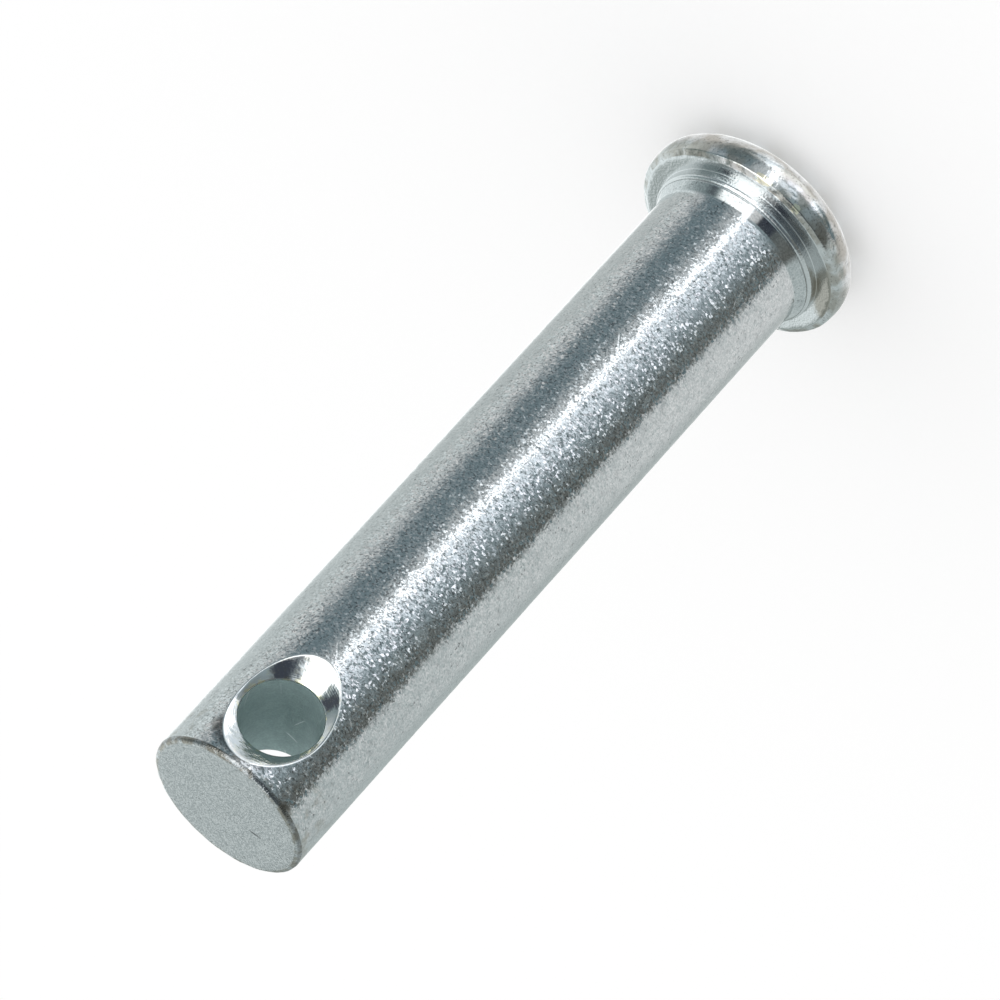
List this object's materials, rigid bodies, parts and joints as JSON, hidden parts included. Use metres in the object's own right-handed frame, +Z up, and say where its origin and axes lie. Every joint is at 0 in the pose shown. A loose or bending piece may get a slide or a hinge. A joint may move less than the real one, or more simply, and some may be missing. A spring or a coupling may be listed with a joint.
{
  "type": "clevis pin",
  "caption": "Plain steel clevis pin with a round low head, a straight shank and a countersunk cross hole for a cotter or spring clip.",
  "frame": {"origin": "centre of the outer face of the head, on which the pin stands", "axes": "+Z up the shank to the tip, Y along the cross hole"},
  "size_m": [0.0138, 0.0138, 0.052],
  "materials": {
    "zinc_plated_steel": "bright zinc plating with a clear passivate over rolled and cold-headed steel, satin and finely grained"
  },
  "bodies": {
    "root": {"clevis_pin": "zinc_plated_steel"}
  },
  "joints": []
}
